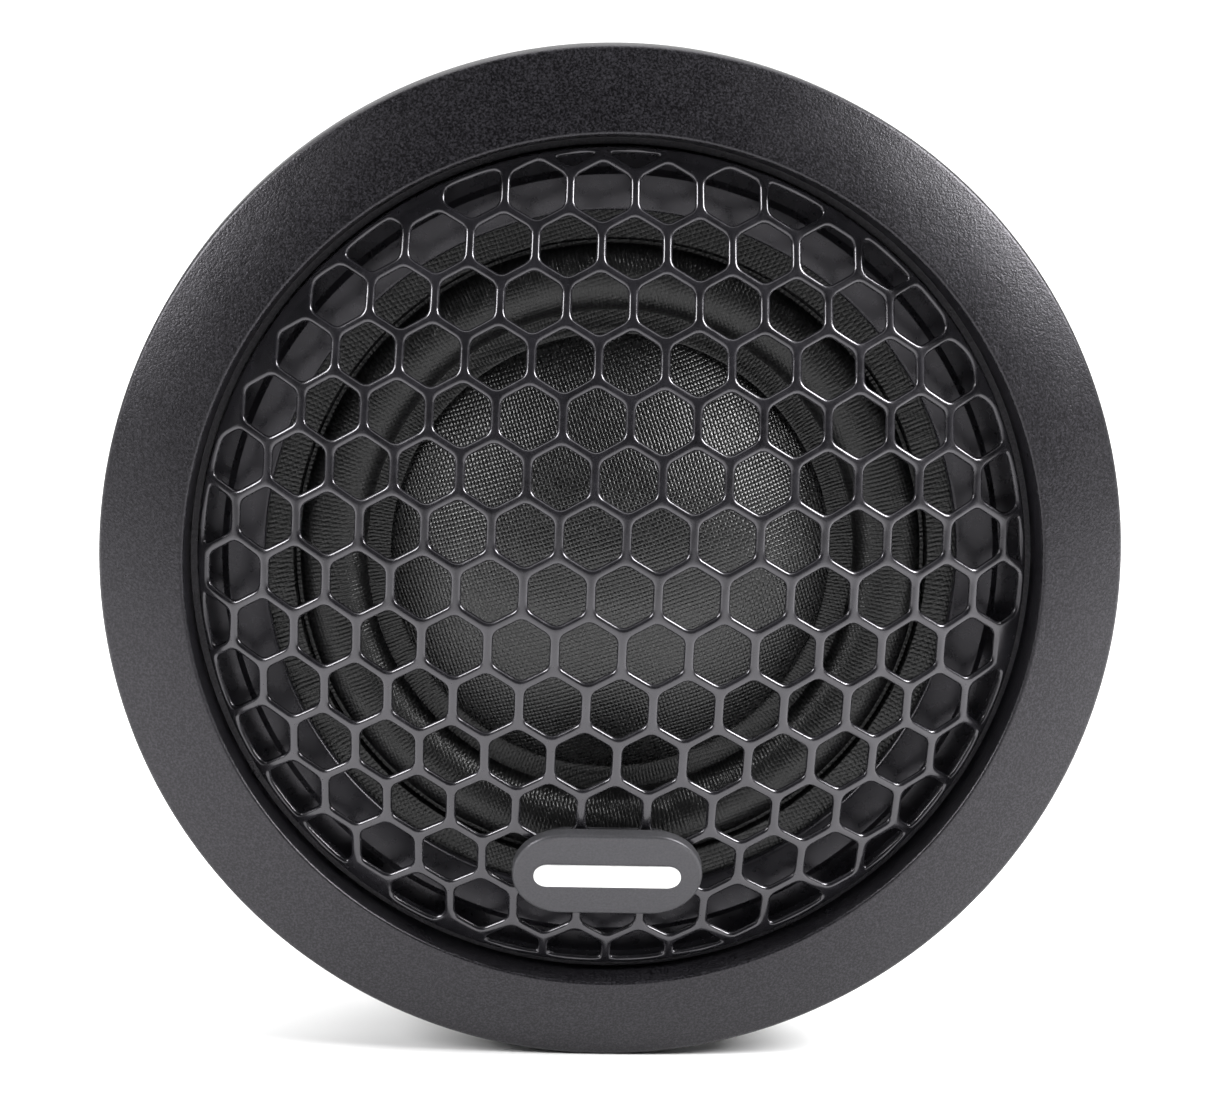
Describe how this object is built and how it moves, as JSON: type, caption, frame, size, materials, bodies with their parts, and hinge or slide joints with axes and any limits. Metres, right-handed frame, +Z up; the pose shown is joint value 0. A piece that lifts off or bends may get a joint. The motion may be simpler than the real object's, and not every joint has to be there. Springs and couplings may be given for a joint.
{
  "type": "car tweeter",
  "caption": "Round flush-mount car tweeter with a silk dome behind a domed hexagonal mesh, a sloping trim ring, and a clamping ring nut at the back.",
  "frame": {"origin": "on the tweeter's axis, at the rear face of the trim ring, where the panel seats", "axes": "-Y is the way the dome faces, +Y points behind the panel, +Z is up with the badge at the bottom, and +X is to the right as seen from the front"},
  "size_m": [0.057, 0.0338, 0.057],
  "materials": {
    "trim_satin": "fine moulded satin grain",
    "grille_paint": "gloss black paint",
    "badge_black": "satin",
    "badge_white": "bright",
    "face_gloss": "gloss",
    "dome_silk": "coated silk weave",
    "surround_cloth": "coated cloth",
    "moulded_black": "glass-filled nylon",
    "former_foil": "thin foil",
    "coil_copper": "enamelled copper wire",
    "felt": "felt",
    "copper": "drawn copper sheet",
    "motor_steel": "zinc plated",
    "magnet_nickel": "nickel plated neodymium",
    "screw_black": "black oxide",
    "foam": "closed-cell foam",
    "seal_rubber": "rubber",
    "wool": "damping wool",
    "board": "phenolic laminate",
    "tinned_brass": "tin plated",
    "brass": "bare brass",
    "lead_copper": "braided tinsel wire",
    "washer_plastic": "nylon",
    "nut_plastic": "glass-filled nylon"
  },
  "bodies": {
    "housing": {"trim_ring": "trim_satin", "grille_mesh": "grille_paint", "badge_plate": "badge_black", "badge_inlay": "badge_white", "face_plate": "face_gloss", "surround": "surround_cloth", "diaphragm_ring": "moulded_black", "dome_felt": "felt", "copper_cap": "copper", "pole_plate": "motor_steel", "magnet": "magnet_nickel", "yoke_cup": "motor_steel", "chassis": "moulded_black", "trim_screws": "screw_black", "panel_gasket": "foam", "rear_cover": "moulded_black", "cover_seal": "seal_rubber", "cover_screws": "screw_black", "chamber_wool": "wool", "terminal_board": "board", "terminal_positive": "tinned_brass", "terminal_negative": "tinned_brass", "terminal_rivets": "brass", "lead_wire_positive": "lead_copper", "lead_wire_negative": "lead_copper"},
    "diaphragm": {"silk_dome": "dome_silk", "coil_former": "former_foil", "voice_coil": "coil_copper"},
    "washer": {"pressure_washer": "washer_plastic"},
    "nut": {"ring_nut": "nut_plastic"}
  },
  "joints": [
    {"name": "dome_stroke", "type": "slide", "parent": "housing", "child": "diaphragm", "axis": [0, -1, 0], "range_m": [-0.0005, 0.0005], "stiffness_N_per_m": 200, "deforming": ["surround", "lead_wire_positive", "lead_wire_negative"]},
    {"name": "washer_slide", "type": "slide", "parent": "housing", "child": "washer", "axis": [0, -1, 0], "range_m": [-0.003, 0.003]},
    {"name": "nut_spin", "type": "hinge", "parent": "washer", "child": "nut", "pos_m": [0, 0.008, 0], "axis": [0, -1, 0], "range_deg": [-540, 540]}
  ],
  "couplings": [
    {"joint": "nut_spin", "follows": "washer_slide", "rad_per_m": 3141.6}
  ]
}
